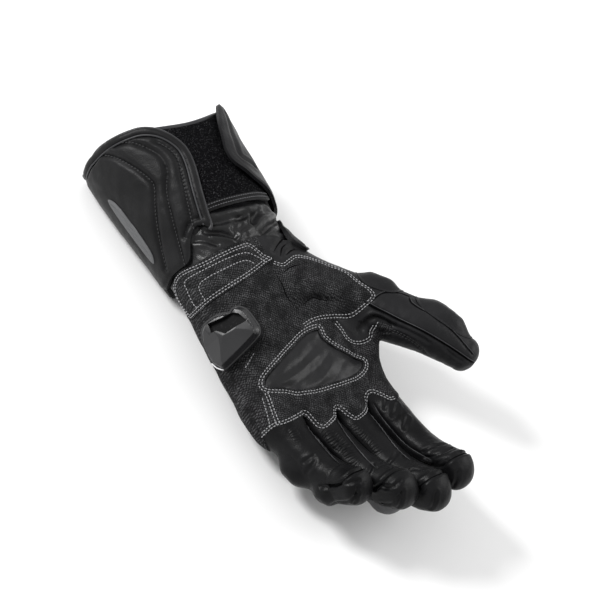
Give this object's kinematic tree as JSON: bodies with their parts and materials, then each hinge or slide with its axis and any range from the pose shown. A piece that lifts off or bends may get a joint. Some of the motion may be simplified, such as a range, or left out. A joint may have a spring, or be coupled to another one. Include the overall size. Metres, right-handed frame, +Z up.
{
  "type": "motorcycle glove",
  "caption": "Left long-cuff leather riding glove lying palm up: hollow curved fingers and thumb, padded backs, hard palm slider, wrapped cuff flaps over a tape panel.",
  "frame": {"origin": "middle of the glove's bounding box at floor level, under the hand", "axes": "+Y towards the fingertips, +Z up out of the palm, +X towards the little finger"},
  "size_m": [0.1678, 0.2996, 0.0768],
  "materials": {
    "leather": "smooth black leather, softly glossy with creases",
    "palm_leather": "matt black suede-like palm leather with a fine grain",
    "loop_tape": "black loop pile of a touch fastener",
    "binding": "thin dark grey bound edge",
    "slider_plastic": "dark grey moulded plastic, glossy",
    "inlay": "dark grey rubbery inlay"
  },
  "bodies": {
    "root": {"cuff_shell": "leather", "rim_binding": "binding", "outer_flap": "leather", "flap_piping": "binding", "flap_inlay": "inlay", "closing_flap": "leather", "loop_panel": "loop_tape", "wrist_strap": "leather", "palm_panel": "palm_leather", "back_panel": "leather", "index_finger": "leather", "index_tip": "leather", "index_pad_1": "leather", "index_pad_2": "leather", "middle_finger": "leather", "middle_tip": "leather", "middle_pad_1": "leather", "middle_pad_2": "leather", "ring_finger": "leather", "ring_tip": "leather", "ring_pad_1": "leather", "ring_pad_2": "leather", "little_finger": "leather", "little_tip": "leather", "little_pad_1": "leather", "little_pad_2": "leather", "thumb": "leather", "thumb_tip": "leather", "thumb_pad_lower": "leather", "thumb_pad_upper": "leather", "heel_panel": "palm_leather", "palm_leaf": "leather", "slider_foot": "slider_plastic", "slider_shell": "slider_plastic"}
  },
  "joints": []
}
